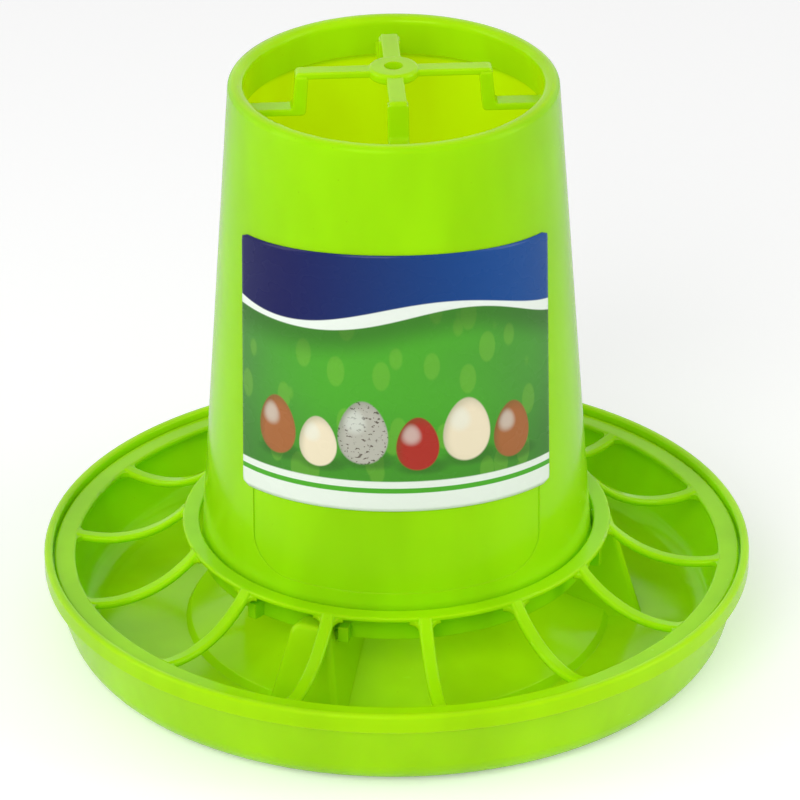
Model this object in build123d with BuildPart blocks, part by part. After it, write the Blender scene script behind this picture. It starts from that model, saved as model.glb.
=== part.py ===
"""Small hanging poultry feeder: a hopper that twists onto a round feed pan under a scatter guard.

Millimetres, +Z up. The origin is the centre of the pan's base, and -Y is the labelled front.
Azimuths are measured counter-clockwise from +X, seen from above.
"""

from build123d import *

import math
import os

os.makedirs("parts", exist_ok=True)

# Feed pan
pan_radius = 95.0
pan_height = 25.0
lip_thickness = 2.3
lip_rounding = 1.0
lip_band_height = 5.2
lip_overhang = 1.5
wall_slope = 0.3
wall_thickness = 2.4
wall_bottom_rounding = 9.5
floor_thickness = 2.0
cone_foot_radius = 56.0
cone_foot_height = 2.0
cone_foot_run = 1.2
cone_height = 26.0
cone_tip_radius = 5.0

# Ridges of the pan that carry the hopper, each with a hook at its outer end
ridge_count = 3
ridge_azimuth = -113.0
ridge_draft = 9.6
ridge_root_radius = 30.0
ridge_root_half_width = 6.7
ridge_half_width = 10.3
ridge_nose_run = 7.8
ridge_wall = 2.0
ridge_rounding = 1.5
hook_height = 4.9
hook_thickness = 3.7
hook_shoulder_rounding = 3.2
hook_tooth_height = 2.0

# Hopper
skirt_drop = 1.3
hopper_clearance = 0.3
hopper_height = 137.3
skirt_radius = 52.7
rim_radius = 43.1
rim_rounding = 1.9
hopper_wall = 1.8
collar_depth = 10.6
collar_thickness = 4.4
collar_slope = 0.08

# Bayonet of the hopper: foot beads that turn under the hooks, between two stop lugs
twist_range = 12.0
twist_gap = 0.4
bead_radial = 1.7
bead_thickness = 1.6
bead_sweep = 11.0
lug_radial = 3.3
lug_height = 4.3
lug_sweep = 2.8
tooth_overlap = 1.0

# Hanger moulded across the top of the hopper
hanger_turn = 3.0
hub_radius = 6.7
hub_thickness = 3.0
hub_rise = 3.6
hub_rounding = 1.1
hub_hole_radius = 2.5
arm_width = 4.6
arm_foot_width = 5.6
arm_thickness = 1.9
arm_drop = 10.0
arm_leg_thickness = 3.4
arm_leg_splay = 0.8
arm_below_hub = 0.5
side_arm_step_radius = 25.6
cross_arm_step_radius = 22.2
arm_corner_radius = 1.2
arm_rounding = 0.6

# Scatter guard
spoke_count = 14
spoke_azimuth = -82.7
spoke_width = 3.7
spoke_thickness = 2.1
spoke_root = 0.8
spoke_sag_radius = 69.5
spoke_sag_drop = 9.4
flare_radius = 2.4
flare_root = 2.0
flare_thickness = 1.4
guard_seat_depth = 3.5
guard_lip_gap = 0.4
guard_hopper_gap = 0.8
flange_width = 5.7
flange_thickness = 1.7
ring_width = 4.6
ring_thickness = 1.4
ring_rise = 7.6
ring_rounding = 0.55
flange_rounding = 0.7

# Printed label, and the shallow panel that shows below it
label_top_width = 79.0
label_top = 131.9
label_top_fall = 3.7
label_bottom_width = 80.4
label_bottom = 60.5
label_bottom_fall = 1.8
label_corner = 1.5
label_thickness = 0.15
label_gap = 0.08
panel_depth = 0.2
panel_width = 75.0
panel_bottom = 36.8
panel_height = 30.0
panel_corner = 9.0

# Places worked out from the sizes above
lip_inner_radius = pan_radius - lip_thickness
band_bottom = pan_height - lip_band_height
wall_top_radius = pan_radius - lip_overhang
wall_base_radius = wall_top_radius - wall_slope * band_bottom
wall_radial = wall_thickness * math.hypot(1, wall_slope)
seat_level = pan_height - guard_seat_depth
seat_radius = wall_top_radius + wall_slope * (seat_level - band_bottom) - wall_radial
inner_base_radius = wall_base_radius + wall_slope * floor_thickness - wall_radial
ridge_lean = math.tan(math.radians(ridge_draft))
cone_foot_level = floor_thickness + cone_foot_height

skirt_level = pan_height - skirt_drop
rest_level = skirt_level - hopper_clearance
rim_level = skirt_level + hopper_height
hopper_slope = (skirt_radius - rim_radius) / hopper_height
collar_level = rim_level - collar_depth
hub_top = rim_level + hub_rise
hook_level = rest_level + hook_height
bead_radius = skirt_radius + bead_radial
hook_front_radius = bead_radius + hopper_clearance
hook_back_radius = hook_front_radius + hook_thickness
ridge_foot_radius = hook_back_radius + ridge_nose_run
tooth_radius = bead_radius - tooth_overlap
lug_radius = skirt_radius + lug_radial

ring_top = pan_height + ring_rise
ring_bottom = ring_top - ring_thickness
flange_top = seat_level + flange_thickness
flange_radius = lip_inner_radius - guard_lip_gap
flange_inner_radius = flange_radius - flange_width


def hopper_radius(level):
    """Outer radius of the hopper wall at a height above the ground."""
    return skirt_radius - hopper_slope * (level - skirt_level)


def corner(sketch, x, y):
    """The sketch vertex that lies nearest to a point of its plane."""
    return sketch.vertices().sort_by_distance((x, y, 0))[0]


ring_inner_radius = hopper_radius(ring_bottom) + guard_hopper_gap
ring_outer_radius = ring_inner_radius + ring_width


def ridge_half_width_at(radius):
    """Half width of a ridge at its base, which widens from the root to the back of the hook."""
    share = (radius - ridge_root_radius) / (hook_back_radius - ridge_root_radius)
    return ridge_root_half_width + share * (ridge_half_width - ridge_root_half_width)


def ridge_blank(outline, wall=0.0):
    """A drafted bar along +X with this side view, or the hollow that a wall leaves in it."""
    far_radius = ridge_foot_radius + ridge_wall
    bottom = min(level for _, level in outline)
    top = max(level for _, level in outline)
    with BuildPart() as body:
        for radius in (ridge_root_radius - ridge_wall, far_radius):
            half_width = ridge_half_width_at(radius) - wall
            low_half_width = half_width - bottom * ridge_lean
            high_half_width = half_width - top * ridge_lean
            with BuildSketch(Plane.YZ.offset(radius)):
                with BuildLine():
                    Polyline(
                        (-low_half_width, bottom),
                        (low_half_width, bottom),
                        (high_half_width, top),
                        (-high_half_width, top),
                        close=True,
                    )
                make_face()
        loft(ruled=True)
        with BuildSketch(Plane.XZ.offset(-far_radius)):
            with BuildLine():
                Polyline(*outline, close=True)
            make_face()
            if wall:
                offset(amount=-wall, kind=Kind.INTERSECTION)
        extrude(amount=2 * far_radius, mode=Mode.INTERSECT)
    return body.part


tooth_bottom = hook_level - hook_tooth_height
with BuildPart() as ridge:
    add(
        ridge_blank(
            [
                (ridge_root_radius, 0),
                (ridge_root_radius, rest_level),
                (hook_front_radius, rest_level),
                (hook_front_radius, tooth_bottom),
                (tooth_radius, tooth_bottom),
                (tooth_radius, hook_level),
                (hook_back_radius, hook_level),
                (ridge_foot_radius, 0),
            ]
        )
    )
    hook_top = ridge.faces().sort_by(Axis.Z)[-1]
    fillet(hook_top.edges().sort_by(lambda edge: abs(edge.center().Y))[-2:], hook_shoulder_rounding)
    nose = ridge.faces().sort_by(Axis.X)[-1]
    fillet(nose.edges().filter_by(lambda edge: edge.center().Z > ridge_rounding), ridge_rounding)

hollow_bottom = -2 * ridge_wall
with BuildPart() as ridge_hollow:
    add(
        ridge_blank(
            [
                (ridge_root_radius, hollow_bottom),
                (ridge_root_radius, rest_level),
                (hook_back_radius, rest_level),
                (ridge_foot_radius, hollow_bottom),
            ],
            ridge_wall,
        )
    )

# Feed pan: a moulded dish with a central cone, hollow underneath
with BuildPart() as feed_pan:
    with BuildSketch(Plane.XZ) as pan_section:
        with BuildLine():
            Polyline(
                (0, 0),
                (0, cone_height),
                (cone_tip_radius, cone_height),
                (cone_foot_radius, cone_foot_level),
                (cone_foot_radius + cone_foot_run, floor_thickness),
                (inner_base_radius, floor_thickness),
                (seat_radius, seat_level),
                (lip_inner_radius, seat_level),
                (lip_inner_radius, pan_height),
                (pan_radius, pan_height),
                (pan_radius, band_bottom),
                (wall_top_radius, band_bottom),
                (wall_base_radius, 0),
                close=True,
            )
        make_face()
        fillet(corner(pan_section, wall_base_radius, 0), wall_bottom_rounding)
        fillet(
            corner(pan_section, inner_base_radius, floor_thickness),
            wall_bottom_rounding - wall_thickness,
        )
        fillet(corner(pan_section, pan_radius, pan_height), lip_rounding)
        fillet(corner(pan_section, lip_inner_radius, pan_height), lip_rounding * 0.8)
        fillet(corner(pan_section, pan_radius, band_bottom), lip_rounding * 0.5)
        fillet(corner(pan_section, cone_tip_radius, cone_height), cone_tip_radius * 1.5)
        fillet(corner(pan_section, cone_foot_radius, cone_foot_level), cone_foot_run / 2)
    revolve(axis=Axis.Z)
    with PolarLocations(0, ridge_count, start_angle=ridge_azimuth):
        add(ridge.part)
    with BuildSketch(Plane.XZ):
        with BuildLine():
            Polyline(
                (0, 0),
                (0, cone_height - floor_thickness),
                (cone_tip_radius, cone_height - floor_thickness),
                (cone_foot_radius - floor_thickness, 0),
                close=True,
            )
        make_face()
    revolve(axis=Axis.Z, mode=Mode.SUBTRACT)
    with PolarLocations(0, ridge_count, start_angle=ridge_azimuth):
        add(ridge_hollow.part, mode=Mode.SUBTRACT)


def arm(step_radius, foot):
    """One stepped arm of the hanger along +X: its top bar, or its leg and foot bar."""
    top = hub_top - arm_below_hub
    foot_top = top - arm_drop
    foot_end = hopper_radius(foot_top) - hopper_wall
    leg_top_inner = step_radius - arm_leg_thickness
    leg_foot_inner = leg_top_inner + arm_leg_splay
    with BuildPart() as body:
        with BuildSketch(Plane.XZ) as side:
            with BuildLine():
                if foot:
                    Polyline(
                        (leg_top_inner, top - arm_thickness),
                        (leg_top_inner + arm_leg_splay / 2, top - arm_thickness / 2),
                        (step_radius, top - arm_thickness / 2),
                        (step_radius + arm_leg_splay, foot_top),
                        (foot_end, foot_top),
                        (foot_end, foot_top - arm_thickness),
                        (leg_foot_inner, foot_top - arm_thickness),
                        close=True,
                    )
                else:
                    Polyline(
                        (hub_hole_radius + 1, top),
                        (step_radius, top),
                        (step_radius, top - arm_thickness),
                        (hub_hole_radius + 1, top - arm_thickness),
                        close=True,
                    )
            make_face()
            if foot:
                fillet(corner(side, step_radius + arm_leg_splay, foot_top), arm_corner_radius)
                fillet(corner(side, leg_foot_inner, foot_top - arm_thickness), arm_corner_radius)
            else:
                fillet(corner(side, step_radius, top), arm_corner_radius)
        half_width = (arm_foot_width if foot else arm_width) / 2
        extrude(amount=half_width, both=True)
        flank_edges = body.edges().filter_by(lambda edge: abs(edge.center().Y) > half_width - 0.01)
        fillet(flank_edges, arm_rounding)
    return body.part


def sector(inner_radius, outer_radius, bottom, height, start, sweep):
    """A block that follows the hopper's round, from one azimuth over a sweep."""
    mid = math.radians(start + sweep / 2)
    half = math.radians(sweep / 2)
    low = math.radians(start)
    high = low + 2 * half

    def at(radius, azimuth):
        return (radius * math.cos(azimuth), radius * math.sin(azimuth))

    with BuildPart() as body:
        with BuildSketch(Plane.XY.offset(bottom)):
            with BuildLine():
                ThreePointArc(at(outer_radius, low), at(outer_radius, mid), at(outer_radius, high))
                Line(at(outer_radius, high), at(inner_radius, high))
                ThreePointArc(at(inner_radius, high), at(inner_radius, mid), at(inner_radius, low))
                Line(at(inner_radius, low), at(outer_radius, low))
            make_face()
        extrude(amount=height)
    return body.part


hook_flank = ridge_half_width_at(lug_radius) - skirt_level * ridge_lean
hook_half_sweep = math.degrees(hook_flank / skirt_radius) + twist_gap
lug_root = hopper_radius(skirt_level + lug_height) - hopper_wall / 2
foot_bead = sector(
    skirt_radius - hopper_wall / 2,
    bead_radius,
    skirt_level,
    bead_thickness,
    hook_half_sweep - bead_sweep,
    bead_sweep + lug_sweep / 2,
)
closing_lug = sector(lug_root, lug_radius, skirt_level, lug_height, hook_half_sweep, lug_sweep)
opening_lug = sector(
    lug_root,
    lug_radius,
    skirt_level,
    lug_height,
    -hook_half_sweep - twist_range - lug_sweep,
    lug_sweep,
)

# Hopper: a tapered open tube with a thick collar, a hanger across its top and bayonet feet
with BuildPart() as hopper_body:
    with BuildSketch(Plane.XZ) as hopper_section:
        with BuildLine():
            Polyline(
                (skirt_radius - hopper_wall, skirt_level),
                (skirt_radius, skirt_level),
                (rim_radius, rim_level),
                (rim_radius - collar_thickness, rim_level),
                (rim_radius - collar_thickness + collar_slope * collar_depth, collar_level),
                (hopper_radius(collar_level) - hopper_wall, collar_level - 1.5),
                close=True,
            )
        make_face()
        fillet(corner(hopper_section, rim_radius, rim_level), rim_rounding)
        fillet(corner(hopper_section, rim_radius - collar_thickness, rim_level), rim_rounding)
    revolve(axis=Axis.Z)
    with PolarLocations(0, 2, start_angle=hanger_turn):
        add(arm(side_arm_step_radius, foot=True))
        add(arm(side_arm_step_radius, foot=False))
    with PolarLocations(0, 2, start_angle=hanger_turn + 90):
        add(arm(cross_arm_step_radius, foot=True))
        add(arm(cross_arm_step_radius, foot=False))
    with BuildSketch(Plane.XZ) as hub_section:
        with BuildLine():
            Polyline(
                (0, hub_top - hub_thickness),
                (hub_radius, hub_top - hub_thickness),
                (hub_radius, hub_top),
                (0, hub_top),
                close=True,
            )
        make_face()
        fillet(hub_section.vertices().group_by(Axis.X)[-1], hub_rounding)
    revolve(axis=Axis.Z)
    with Locations((0, 0, hub_top)):
        Hole(hub_hole_radius, depth=hub_thickness * 2)
    with PolarLocations(0, ridge_count, start_angle=ridge_azimuth):
        add(foot_bead)
        add(closing_lug)
        add(opening_lug)


def wall_shell(inner_offset, outer_offset):
    """A thin conical skin, set off from the hopper's outer face by the two offsets."""
    with BuildPart() as skin:
        with BuildSketch(Plane.XZ):
            with BuildLine():
                Polyline(
                    (skirt_radius + inner_offset, skirt_level),
                    (skirt_radius + outer_offset, skirt_level),
                    (rim_radius + outer_offset, rim_level),
                    (rim_radius + inner_offset, rim_level),
                    close=True,
                )
            make_face()
        revolve(axis=Axis.Z)
    return skin.part


# Hopper with the shallow panel sunk into its front
with BuildPart() as panel:
    add(wall_shell(-panel_depth, panel_depth))
    with BuildSketch(Plane.XZ):
        with Locations((0, panel_bottom + panel_height / 2)):
            RectangleRounded(panel_width, panel_height, panel_corner)
    extrude(amount=2 * skirt_radius, mode=Mode.INTERSECT)

with BuildPart() as hopper:
    add(hopper_body.part)
    add(panel.part, mode=Mode.SUBTRACT)

# Label: a printed sheet wrapped on the front of the hopper
with BuildPart() as label:
    add(wall_shell(label_gap, label_gap + label_thickness))
    with BuildSketch(Plane.XZ) as label_face:
        top_corner = (label_top_width / 2, label_top - label_top_fall)
        bottom_corner = (label_bottom_width / 2, label_bottom - label_bottom_fall)
        with BuildLine():
            ThreePointArc((-top_corner[0], top_corner[1]), (0, label_top), top_corner)
            Line(top_corner, bottom_corner)
            ThreePointArc(bottom_corner, (0, label_bottom), (-bottom_corner[0], bottom_corner[1]))
            Line((-bottom_corner[0], bottom_corner[1]), (-top_corner[0], top_corner[1]))
        make_face()
        fillet(label_face.vertices(), label_corner)
    extrude(amount=2 * skirt_radius, mode=Mode.INTERSECT)

# Scatter guard: a ring and a flange, and spokes that hang in a curve between them
sag_level = ring_top - spoke_sag_drop
ring_middle = (ring_top + ring_bottom) / 2
flange_middle = (flange_top + seat_level) / 2

with BuildPart() as spoke:
    with BuildLine() as spoke_path:
        ThreePointArc(
            (ring_outer_radius - spoke_root, 0, ring_middle),
            (spoke_sag_radius, 0, sag_level),
            (flange_inner_radius + spoke_root, 0, flange_middle),
        )
    path = spoke_path.line
    with BuildSketch(Plane(origin=path @ 0, z_dir=path % 0, x_dir=(0, 1, 0))):
        RectangleRounded(spoke_width, spoke_thickness, spoke_thickness * 0.45)
    sweep()

flare_start = ring_outer_radius - flare_root
flare_end = flange_inner_radius + flare_root
flare_neck = spoke_width * 0.8
flare_mouth = flare_neck + 2.2 * flare_radius
flare_skin = (ring_thickness - flare_thickness * 0.85) / 2

with BuildPart() as flares:
    with BuildSketch() as flare_plan:
        with Locations(((flare_start + flare_end) / 2, 0)):
            Rectangle(flare_end - flare_start, flare_neck)
        with Locations((flare_start + (flare_root - 0.2) / 2, 0)):
            Rectangle(flare_root - 0.2, flare_mouth)
        with Locations((flare_end - flare_root / 2, 0)):
            Rectangle(flare_root, flare_mouth)
        neck_corners = flare_plan.vertices().filter_by(
            lambda vertex: abs(abs(vertex.Y) - flare_neck / 2) < 0.01
        )
        fillet(neck_corners, flare_radius)
    extrude(amount=ring_top)
    with BuildSketch(Plane.XZ.offset(-flare_mouth)):
        with BuildLine():
            upper = ThreePointArc(
                (ring_outer_radius - 1, ring_top - flare_skin),
                (spoke_sag_radius, sag_level + flare_thickness / 2),
                (flange_inner_radius + 1, flange_top - flare_skin),
            )
            lower = ThreePointArc(
                (flange_inner_radius + 1, seat_level + flare_skin),
                (spoke_sag_radius, sag_level - flare_thickness / 2),
                (ring_outer_radius - 1, ring_bottom + flare_skin),
            )
            Polyline(
                upper @ 1,
                (flare_end, flange_top - flare_skin),
                (flare_end, seat_level + flare_skin),
                lower @ 0,
            )
            Polyline(
                lower @ 1,
                (flare_start, ring_bottom + flare_skin),
                (flare_start, ring_top - flare_skin),
                upper @ 0,
            )
        make_face()
    extrude(amount=2 * flare_mouth, mode=Mode.INTERSECT)

with BuildPart() as scatter_guard:
    with BuildSketch(Plane.XZ):
        with Locations(((ring_inner_radius + ring_outer_radius) / 2, ring_middle)):
            RectangleRounded(ring_width, ring_thickness, ring_rounding)
        with Locations(((flange_inner_radius + flange_radius) / 2, flange_middle)):
            RectangleRounded(flange_width, flange_thickness, flange_rounding)
    revolve(axis=Axis.Z)
    with PolarLocations(0, spoke_count, start_angle=spoke_azimuth):
        add(spoke.part)
        add(flares.part)

for name, piece in (
    ("feed_pan", feed_pan),
    ("scatter_guard", scatter_guard),
    ("hopper", hopper),
    ("label", label),
):
    piece.part.label = name
    export_step(piece.part, f"parts/{name}.step")
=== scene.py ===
"""Looks of the small poultry feeder: glossy moulded plastic, a printed label and soft studio light.

Metres, +Z up. The origin is the centre of the pan's base, and -Y is the labelled front.
"""

import math

import bmesh
import bpy
from mathutils import Matrix, Vector


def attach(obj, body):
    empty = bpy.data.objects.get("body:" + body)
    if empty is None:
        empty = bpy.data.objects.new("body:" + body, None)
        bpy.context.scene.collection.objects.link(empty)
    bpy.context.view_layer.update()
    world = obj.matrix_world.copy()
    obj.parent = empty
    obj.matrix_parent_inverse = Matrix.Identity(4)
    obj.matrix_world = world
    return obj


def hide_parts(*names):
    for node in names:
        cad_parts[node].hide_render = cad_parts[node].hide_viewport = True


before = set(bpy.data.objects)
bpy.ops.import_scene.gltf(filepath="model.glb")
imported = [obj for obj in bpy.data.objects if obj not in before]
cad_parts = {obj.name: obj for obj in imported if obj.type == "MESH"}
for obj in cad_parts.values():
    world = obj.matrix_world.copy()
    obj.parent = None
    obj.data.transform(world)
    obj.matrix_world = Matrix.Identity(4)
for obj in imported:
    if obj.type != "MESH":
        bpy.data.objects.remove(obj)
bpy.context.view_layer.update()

MM = 0.001

# Camera: a long lens that looks down on the front
CAMERA_DISTANCE = 1594.2 * MM
CAMERA_PITCH = math.radians(27.46)
CAMERA_ROLL = math.radians(-0.356)
CAMERA_AIM = Vector((1.14, 0.0, 66.98)) * MM
CAMERA_CENTRE_HEIGHT = 67.07 * MM
CAMERA_OFFSET = -0.86 * MM
SENSOR_WIDTH = 36.0
CAMERA_LENS = 269.1

# Hopper: its outer cone, and the collar inside its rim
SKIRT_RADIUS = 52.7 * MM
SKIRT_LEVEL = 23.7 * MM
RIM_RADIUS = 43.1 * MM
RIM_LEVEL = 161.0 * MM
HOPPER_WALL = 1.8 * MM
COLLAR_LEVEL = 149.5 * MM
HOPPER_SLOPE = (SKIRT_RADIUS - RIM_RADIUS) / (RIM_LEVEL - SKIRT_LEVEL)
HOPPER_FOOT = SKIRT_RADIUS + HOPPER_SLOPE * SKIRT_LEVEL

# Pan: the outer cone of its wall, which widens upwards
PAN_FOOT = 87.6 * MM
PAN_SLOPE = -0.3
PAN_WALL = 2.4 * MM

# Label: corners and mid-points of its curved edges, seen straight from the front
LABEL_TOP_HALF_WIDTH = 39.5 * MM
LABEL_TOP = 131.9 * MM
LABEL_TOP_FALL = 3.7 * MM
LABEL_BOTTOM_HALF_WIDTH = 40.2 * MM
LABEL_BOTTOM = 60.5 * MM
LABEL_BOTTOM_FALL = 1.8 * MM
LABEL_CORNER = 1.5 * MM
LABEL_ARC = 94.0 * MM
LABEL_GAP = 0.08 * MM
LABEL_THICKNESS = 0.15 * MM
LABEL_COLUMNS = 96
LABEL_ROWS = 72

# Colours, as a screen shows them
HOPPER_GREEN = (158, 223, 9)
PAN_GREEN = (170, 228, 10)
GUARD_GREEN = (164, 228, 5)
# Colour of the painted glow inside the hopper, standing in for light through its wall
HOPPER_PAINTED_GLOW = (255, 220, 0)
# Colour of the painted glow inside the pan, standing in for light through its wall
PAN_PAINTED_GLOW = (180, 235, 0)
GLOSS_TINT = (0.6, 1.0, 0.12, 1.0)
PLASTIC_ROUGHNESS = 0.16
PRINT_NAVY = (14, 18, 84)
PRINT_BLUE = (10, 74, 146)
PRINT_LEAF = (78, 172, 40)
PRINT_MOSS = (76, 142, 58)
PRINT_SHADE = (44, 88, 30)
PRINT_PALE = (150, 206, 70)
PRINT_WHITE = (236, 244, 234)
EGG_BROWN = (168, 104, 58)
EGG_GREY = (186, 184, 172)
EGG_SPECKLE = (104, 96, 86)
EGG_CREAM = (240, 226, 196)
EGG_RED = (176, 48, 36)


def linear(rgb):
    """A shader colour from the 0 to 255 values that a screen shows."""

    def channel(value):
        share = min(value, 255) / 255
        if share <= 0.04045:
            return share / 12.92
        return ((share + 0.055) / 1.055) ** 2.4

    return (*(channel(value) for value in rgb), 1.0)


class Nodes:
    """A material's node tree, with one short call for each kind of node."""

    def __init__(self, name):
        self.material = bpy.data.materials.new(name)
        self.material.use_nodes = True
        self.tree = self.material.node_tree
        self.tree.nodes.clear()
        self.output = self.add("ShaderNodeOutputMaterial")
        self.shader = self.add("ShaderNodeBsdfPrincipled")
        self.link(self.shader.outputs["BSDF"], self.output.inputs["Surface"])

    def add(self, kind, **settings):
        node = self.tree.nodes.new(kind)
        for key, value in settings.items():
            setattr(node, key, value)
        return node

    def link(self, source, target):
        self.tree.links.new(source, target)

    def feed(self, socket, value):
        """Links a socket to a node's output, or sets it to a number or colour."""
        if isinstance(value, bpy.types.NodeSocket):
            self.link(value, socket)
        else:
            socket.default_value = value

    def math(self, operation, *values, clamp=False):
        node = self.add("ShaderNodeMath", operation=operation, use_clamp=clamp)
        for socket, value in zip(node.inputs, values, strict=False):
            self.feed(socket, value)
        return node.outputs[0]

    def mix(self, share, first, second, blend="MIX"):
        node = self.add("ShaderNodeMix", data_type="RGBA", blend_type=blend)
        self.feed(node.inputs["Factor"], share)
        self.feed(node.inputs[6], first)
        self.feed(node.inputs[7], second)
        return node.outputs[2]

    def remap(self, value, low, high, to_low=0.0, to_high=1.0):
        """A soft step of a value, from one number below a range to another above it."""
        node = self.add("ShaderNodeMapRange", interpolation_type="SMOOTHSTEP")
        self.feed(node.inputs["Value"], value)
        node.inputs["From Min"].default_value = low
        node.inputs["From Max"].default_value = high
        node.inputs["To Min"].default_value = to_low
        node.inputs["To Max"].default_value = to_high
        return node.outputs[0]

    def object_point(self):
        return self.add("ShaderNodeTexCoord").outputs["Object"]

    def axes(self, vector):
        node = self.add("ShaderNodeSeparateXYZ")
        self.link(vector, node.inputs[0])
        return node.outputs

    def noise(self, vector, size, detail=2.0, roughness=0.5):
        """Smooth noise whose blotches are about this many metres across."""
        node = self.add("ShaderNodeTexNoise")
        self.feed(node.inputs["Vector"], vector)
        node.inputs["Scale"].default_value = 1 / size
        node.inputs["Detail"].default_value = detail
        node.inputs["Roughness"].default_value = roughness
        return node.outputs["Fac"]

    def specks(self, vector, spacing, radius):
        """Sparse dots: 1 at the middle of each, 0 beyond its radius."""
        node = self.add("ShaderNodeTexVoronoi")
        self.feed(node.inputs["Vector"], vector)
        node.inputs["Scale"].default_value = 1 / spacing
        return self.remap(node.outputs["Distance"], radius / spacing * 0.6, radius / spacing, 1.0, 0.0)

    def stretched(self, vector, x, y, z):
        """The vector with each axis multiplied by a number."""
        node = self.add("ShaderNodeMapping")
        self.link(vector, node.inputs["Vector"])
        node.inputs["Scale"].default_value = (x, y, z)
        return node.outputs[0]

    def bump(self, height, distance, strength=1.0, normal=None):
        node = self.add("ShaderNodeBump")
        node.inputs["Strength"].default_value = strength
        node.inputs["Distance"].default_value = distance
        self.feed(node.inputs["Height"], height)
        if normal is not None:
            self.feed(node.inputs["Normal"], normal)
        return node.outputs["Normal"]

    def soft_edges(self, radius):
        """Normals that round the solid's sharp edges."""
        node = self.add("ShaderNodeBevel", samples=4)
        node.inputs["Radius"].default_value = radius
        return node.outputs["Normal"]


def inner_side(nodes, point, foot, slope, wall):
    """1 on the inner side of a tapered wall and 0 outside it. The foot is its outer radius at z = 0."""
    x, y, z = nodes.axes(point)
    radius = nodes.math("SQRT", nodes.math("ADD", nodes.math("POWER", x, 2.0), nodes.math("POWER", y, 2.0)))
    cone = nodes.math("MULTIPLY_ADD", z, slope, radius)
    return nodes.remap(cone, foot - 0.7 * wall, foot - 0.2 * wall, 1.0, 0.0)


def painted_hopper_glow(nodes, point):
    """Painted glow: an emission on the hopper's inner side that stands in for light coming through its wall,
    weaker behind the thick collar.
    """
    _, _, z = nodes.axes(point)
    strength = nodes.remap(z, COLLAR_LEVEL - 2 * MM, COLLAR_LEVEL, 0.26, 0.08)
    return nodes.math("MULTIPLY", strength, inner_side(nodes, point, HOPPER_FOOT, HOPPER_SLOPE, HOPPER_WALL))


def painted_pan_glow(nodes, point):
    """Painted glow: an emission on the pan's inner side that stands in for light coming through its wall."""
    return nodes.math("MULTIPLY", 0.03, inner_side(nodes, point, PAN_FOOT, PAN_SLOPE, PAN_WALL))


def moulded_plastic(name, rgb, painted_glow=None, light=None):
    """Glossy translucent plastic with faint flow marks, a slightly wavy skin and a few scuffs."""
    nodes = Nodes(name)
    point = nodes.object_point()
    flow = nodes.noise(nodes.stretched(point, 1.0, 1.0, 0.35), 0.03, detail=3.0)
    deep = linear([0.95 * value for value in rgb])
    pale = linear([1.03 * value for value in rgb])
    colour = nodes.mix(nodes.remap(flow, 0.3, 0.7), deep, pale)
    dust = nodes.math("MULTIPLY", nodes.specks(point, 6 * MM, 0.22 * MM), 0.35)
    colour = nodes.mix(dust, colour, linear([0.8 * value for value in rgb]))
    shader = nodes.shader.inputs
    nodes.feed(shader["Base Color"], colour)
    blotches = nodes.noise(point, 14 * MM)
    smear = nodes.remap(blotches, 0.3, 0.7, PLASTIC_ROUGHNESS - 0.04, PLASTIC_ROUGHNESS + 0.04)
    scuffs = nodes.noise(nodes.stretched(point, 1.0, 1.0, 6.0), 3 * MM, detail=4.0)
    scuffed = nodes.remap(scuffs, 0.6, 0.8, 0.0, 0.12)
    nodes.feed(shader["Roughness"], nodes.math("ADD", smear, scuffed))
    shader["IOR"].default_value = 1.49
    shader["Specular IOR Level"].default_value = 0.3
    shader["Specular Tint"].default_value = GLOSS_TINT
    # Painted glow: an emission on the inner side of the wall that stands in for light coming through it
    if painted_glow:
        shader["Emission Color"].default_value = linear(light)
        nodes.feed(shader["Emission Strength"], painted_glow(nodes, point))
    shader["Subsurface Weight"].default_value = 0.4
    shader["Subsurface Radius"].default_value = (0.6, 1.0, 0.1)
    shader["Subsurface Scale"].default_value = 5 * MM
    edges = nodes.soft_edges(0.35 * MM)
    wavy = nodes.bump(nodes.noise(point, 26 * MM, detail=1.0), 0.6 * MM, 0.3, edges)
    skin = nodes.bump(nodes.noise(point, 0.9 * MM, detail=2.0), 0.01 * MM, 0.3, wavy)
    nodes.feed(shader["Normal"], skin)
    return nodes.material


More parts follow.
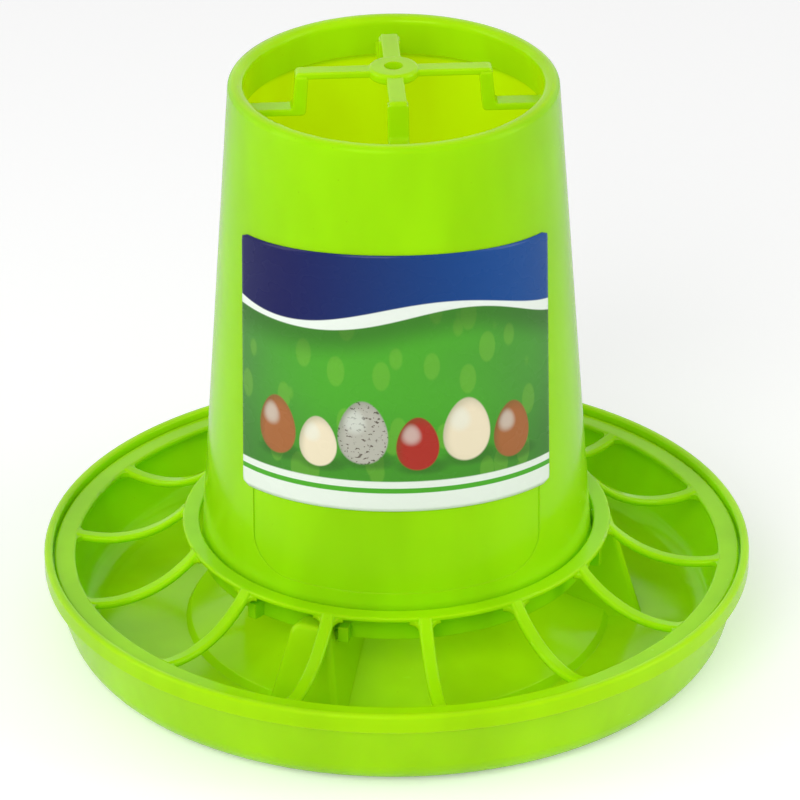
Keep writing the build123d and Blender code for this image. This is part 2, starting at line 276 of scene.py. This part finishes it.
def label_print(name):
    """A glossy printed label: a navy wave over green, with leaves, a row of eggs and a white foot."""
    nodes = Nodes(name)
    uv = nodes.add("ShaderNodeUVMap", uv_map="print").outputs["UV"]
    across, up, _ = nodes.axes(uv)

    # Millimetres from the label's middle, and from its foot
    side = nodes.math("MULTIPLY", nodes.math("SUBTRACT", across, 0.5), LABEL_ARC / MM)
    height = nodes.math("MULTIPLY", up, (LABEL_TOP - LABEL_BOTTOM) / MM)

    def wave(middle, swing, length, phase):
        turn = nodes.math("MULTIPLY_ADD", side, math.tau / length, phase)
        return nodes.math("MULTIPLY_ADD", nodes.math("SINE", turn), swing, middle)

    def above(line, softness):
        return nodes.remap(nodes.math("SUBTRACT", height, line), -softness / 2, softness / 2)

    def disc(x, y, half_width, half_height, softness=0.08):
        """1 within an egg that is narrower at its top."""
        rise = nodes.math("MULTIPLY", nodes.math("SUBTRACT", height, y), 1 / half_height)
        slim = nodes.math("MULTIPLY_ADD", rise, -0.16, 1.0)
        run = nodes.math("MULTIPLY", nodes.math("SUBTRACT", side, x), 1 / half_width)
        run = nodes.math("DIVIDE", run, slim)
        reach = nodes.math("ADD", nodes.math("POWER", rise, 2.0), nodes.math("POWER", run, 2.0))
        return nodes.remap(reach, 1 - softness, 1 + softness, 1.0, 0.0)

    # Green field, deeper towards its sides and foot
    haze = nodes.remap(nodes.noise(uv, 0.35, detail=1.0), 0.3, 0.7, -0.12, 0.12)
    spread = nodes.math("POWER", nodes.math("MULTIPLY", side, 2 * MM / LABEL_ARC), 2.0)
    colour = nodes.mix(nodes.math("ADD", spread, haze, clamp=True), linear(PRINT_LEAF), linear(PRINT_MOSS))
    foot_shade = nodes.remap(height, 8.0, 34.0, 0.35, 0.0)
    colour = nodes.mix(foot_shade, colour, linear(PRINT_SHADE))

    # Leaves, tone on tone
    leaves = nodes.add("ShaderNodeTexVoronoi", feature="F1")
    nodes.link(nodes.stretched(uv, 13.0, 5.5, 1.0), leaves.inputs["Vector"])
    leaves.inputs["Scale"].default_value = 1.0
    leaf = nodes.remap(leaves.outputs["Distance"], 0.3, 0.36, 0.22, 0.0)
    colour = nodes.mix(leaf, colour, linear(PRINT_PALE))

    # Navy band with a white wave below it and a soft shadow under that
    crest = wave(55.0, 3.2, 84.0, 0.6)
    ribbon = nodes.math("SUBTRACT", crest, wave(2.6, 1.1, 60.0, 2.0))
    shadow = nodes.math("SUBTRACT", ribbon, 5.5)
    colour = nodes.mix(nodes.math("MULTIPLY", above(shadow, 9.0), 0.6), colour, linear(PRINT_SHADE))
    colour = nodes.mix(above(ribbon, 0.4), colour, linear(PRINT_WHITE))
    tint = nodes.mix(nodes.remap(side, -36.0, 40.0), linear(PRINT_NAVY), linear(PRINT_BLUE))
    colour = nodes.mix(above(crest, 0.4), colour, tint)

    # Row of eggs on their shadows
    speckle = nodes.remap(nodes.noise(uv, 0.012, detail=3.0), 0.58, 0.62)
    grey = nodes.mix(speckle, linear(EGG_GREY), linear(EGG_SPECKLE))
    eggs = (
        (-33.0, 21.0, 6.0, 8.2, linear(EGG_BROWN)),
        (-20.5, 18.5, 5.2, 7.0, linear(EGG_CREAM)),
        (-8.5, 22.0, 6.4, 8.8, grey),
        (5.5, 19.0, 5.4, 7.4, linear(EGG_RED)),
        (18.5, 22.0, 6.4, 8.8, linear(EGG_CREAM)),
        (32.0, 19.5, 5.8, 7.9, linear(EGG_BROWN)),
    )
    for x, y, half_width, half_height, shell in eggs:
        cast = disc(x + 1.2, y - half_height * 0.85, half_width * 1.15, half_height * 0.3, 0.7)
        colour = nodes.mix(nodes.math("MULTIPLY", cast, 0.5), colour, linear(PRINT_SHADE))
        colour = nodes.mix(disc(x, y, half_width, half_height), colour, shell)
        belly = disc(x + 0.8, y - 1.2, half_width, half_height, 0.5)
        outside = nodes.math("SUBTRACT", 1.0, belly)
        sheen = disc(x - 0.3 * half_width, y + 0.35 * half_height, half_width * 0.4, half_height * 0.35, 0.9)
        within = disc(x, y, half_width, half_height)
        colour = nodes.mix(
            nodes.math("MULTIPLY", nodes.math("MULTIPLY", outside, within), 0.35), colour, linear(PRINT_SHADE)
        )
        colour = nodes.mix(nodes.math("MULTIPLY", sheen, 0.45), colour, linear(PRINT_WHITE))

    # White foot
    foot = nodes.remap(height, 8.2, 8.6, 1.0, 0.0)
    colour = nodes.mix(foot, colour, linear(PRINT_WHITE))
    stripe = nodes.math("MULTIPLY", nodes.remap(height, 5.0, 5.2), nodes.remap(height, 6.4, 6.6, 1.0, 0.0))
    colour = nodes.mix(stripe, colour, linear(PRINT_LEAF))

    shader = nodes.shader.inputs
    nodes.feed(shader["Base Color"], colour)
    nodes.feed(shader["Roughness"], nodes.remap(nodes.noise(uv, 0.1), 0.3, 0.7, 0.22, 0.32))
    shader["IOR"].default_value = 1.5
    shader["Specular IOR Level"].default_value = 0.15
    shader["Coat Weight"].default_value = 0.15
    shader["Coat Roughness"].default_value = 0.12
    ripple = nodes.bump(nodes.noise(uv, 0.25, detail=0.0), 0.4 * MM, 0.2)
    nodes.feed(shader["Normal"], ripple)
    return nodes.material


def set_material(node_name, material):
    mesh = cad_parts[node_name].data
    mesh.materials.clear()
    mesh.materials.append(material)


set_material("hopper", moulded_plastic("hopper_plastic", HOPPER_GREEN, painted_hopper_glow, HOPPER_PAINTED_GLOW))
set_material("feed_pan", moulded_plastic("pan_plastic", PAN_GREEN, painted_pan_glow, PAN_PAINTED_GLOW))
set_material("scatter_guard", moulded_plastic("guard_plastic", GUARD_GREEN))


def wrapped_point(x, z, offset):
    """The point of the hopper's outer cone at this x and z, set off outwards."""
    radius = SKIRT_RADIUS - HOPPER_SLOPE * (z - SKIRT_LEVEL) + offset
    return (x, -math.sqrt(radius * radius - x * x), z)


def make_label():
    """The printed sheet, wrapped on the hopper's front, in place of the plain CAD sheet."""
    mesh = bpy.data.meshes.new("printed_label")
    form = bmesh.new()
    prints = form.loops.layers.uv.new("print")
    layers = []
    shares = {}
    for offset in (LABEL_GAP + LABEL_THICKNESS, LABEL_GAP):
        layer = []
        for row in range(LABEL_ROWS + 1):
            up = row / LABEL_ROWS
            height = LABEL_TOP - LABEL_BOTTOM
            to_edge = min(up, 1 - up) * height
            inset = 0.0
            if to_edge < LABEL_CORNER:
                rise = LABEL_CORNER - to_edge
                inset = LABEL_CORNER - math.sqrt(LABEL_CORNER**2 - rise**2)
            half_width = LABEL_BOTTOM_HALF_WIDTH + up * (LABEL_TOP_HALF_WIDTH - LABEL_BOTTOM_HALF_WIDTH)
            line = []
            for column in range(LABEL_COLUMNS + 1):
                lean = math.sin((2 * column / LABEL_COLUMNS - 1) * math.pi / 3) / math.sin(math.pi / 3)
                x = lean * (half_width - inset)
                side = (x / half_width) ** 2
                low = LABEL_BOTTOM - LABEL_BOTTOM_FALL * side
                high = LABEL_TOP - LABEL_TOP_FALL * side
                z = low + up * (high - low)
                vertex = form.verts.new(wrapped_point(x, z, offset))
                shares[vertex] = (column / LABEL_COLUMNS, up)
                line.append(vertex)
            layer.append(line)
        layers.append(layer)
    front, back = layers
    for row in range(LABEL_ROWS):
        for column in range(LABEL_COLUMNS):
            square = [(row, column), (row, column + 1), (row + 1, column + 1), (row + 1, column)]
            form.faces.new([front[r][c] for r, c in square])
            form.faces.new([back[r][c] for r, c in reversed(square)])
    loop = [(0, c) for c in range(LABEL_COLUMNS)]
    loop += [(r, LABEL_COLUMNS) for r in range(LABEL_ROWS)]
    loop += [(LABEL_ROWS, c) for c in range(LABEL_COLUMNS, 0, -1)]
    loop += [(r, 0) for r in range(LABEL_ROWS, 0, -1)]
    for (r0, c0), (r1, c1) in zip(loop, loop[1:] + loop[:1], strict=True):
        form.faces.new([front[r1][c1], front[r0][c0], back[r0][c0], back[r1][c1]])
    for face in form.faces:
        face.smooth = True
        for corner in face.loops:
            corner[prints].uv = shares[corner.vert]
    form.to_mesh(mesh)
    form.free()
    mesh.materials.append(label_print("label_print"))
    label = bpy.data.objects.new("printed_label", mesh)
    bpy.context.scene.collection.objects.link(label)
    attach(label, "hopper")
    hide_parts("label")


make_label()


def area_light(name, place, aim, size, power):
    data = bpy.data.lights.new(name, "AREA")
    data.shape = "RECTANGLE"
    data.size, data.size_y = size
    data.energy = power
    light = bpy.data.objects.new(name, data)
    light.location = place
    light.rotation_mode = "QUATERNION"
    light.rotation_quaternion = (Vector(aim) - Vector(place)).to_track_quat("-Z", "Y")
    bpy.context.scene.collection.objects.link(light)


def studio():
    """A pale room that the camera sees as white, with a key lamp and two tall side boxes."""
    scene = bpy.context.scene
    world = bpy.data.worlds.new("studio")
    scene.world = world
    world.use_nodes = True
    tree = world.node_tree
    background = tree.nodes["Background"]
    path = tree.nodes.new("ShaderNodeLightPath")
    seen = path.outputs["Is Camera Ray"]
    for ray in ("Is Glossy Ray", "Is Transmission Ray"):
        either = tree.nodes.new("ShaderNodeMath")
        either.operation = "MAXIMUM"
        tree.links.new(seen, either.inputs[0])
        tree.links.new(path.outputs[ray], either.inputs[1])
        seen = either.outputs[0]
    strength = tree.nodes.new("ShaderNodeMapRange")
    strength.inputs["To Min"].default_value = 0.52
    strength.inputs["To Max"].default_value = 1.0
    tree.links.new(seen, strength.inputs["Value"])
    background.inputs["Color"].default_value = (1, 1, 1, 1)
    tree.links.new(strength.outputs[0], background.inputs["Strength"])
    area_light("key", (-0.35, -1.0, 0.8), (0, 0, 0.08), (0.7, 0.7), 6)
    area_light("left_box", (-0.85, -0.15, 0.35), (0, 0, 0.08), (0.35, 0.9), 2)
    area_light("right_box", (0.85, -0.15, 0.35), (0, 0, 0.08), (0.35, 0.9), 2.5)
    scene.view_settings.view_transform = "Standard"


def floor():
    half = 3.0
    mesh = bpy.data.meshes.new("floor")
    corners = [(-half, -half, 0), (half, -half, 0), (half, half, 0), (-half, half, 0)]
    mesh.from_pydata(corners, [], [(0, 1, 2, 3)])
    plane = bpy.data.objects.new("floor", mesh)
    bpy.context.scene.collection.objects.link(plane)
    nodes = Nodes("floor_paper")
    path = nodes.add("ShaderNodeLightPath")
    grain = nodes.noise(nodes.object_point(), 2 * MM, detail=2.0)
    shader = nodes.shader.inputs
    nodes.feed(shader["Base Color"], nodes.mix(grain, (0.9, 0.9, 0.9, 1), (0.92, 0.92, 0.92, 1)))
    shader["Roughness"].default_value = 0.9
    shader["Specular IOR Level"].default_value = 0.1
    shader["Emission Color"].default_value = (1, 1, 1, 1)
    nodes.feed(shader["Emission Strength"], nodes.math("MULTIPLY", path.outputs["Is Camera Ray"], 0.27))
    mesh.materials.append(nodes.material)


def camera():
    data = bpy.data.cameras.new("camera")
    data.sensor_width = SENSOR_WIDTH
    data.lens = CAMERA_LENS
    data.clip_end = 10
    view = bpy.data.objects.new("camera", data)
    back = CAMERA_DISTANCE * math.cos(CAMERA_PITCH)
    rise = CAMERA_DISTANCE * math.sin(CAMERA_PITCH)
    view.location = (CAMERA_OFFSET, -back, CAMERA_CENTRE_HEIGHT + rise)
    aim = (CAMERA_AIM - view.location).to_track_quat("-Z", "Y").to_matrix()
    view.rotation_mode = "QUATERNION"
    view.rotation_quaternion = (aim @ Matrix.Rotation(CAMERA_ROLL, 3, "Z")).to_quaternion()
    bpy.context.scene.collection.objects.link(view)
    bpy.context.scene.camera = view


floor()
studio()
camera()
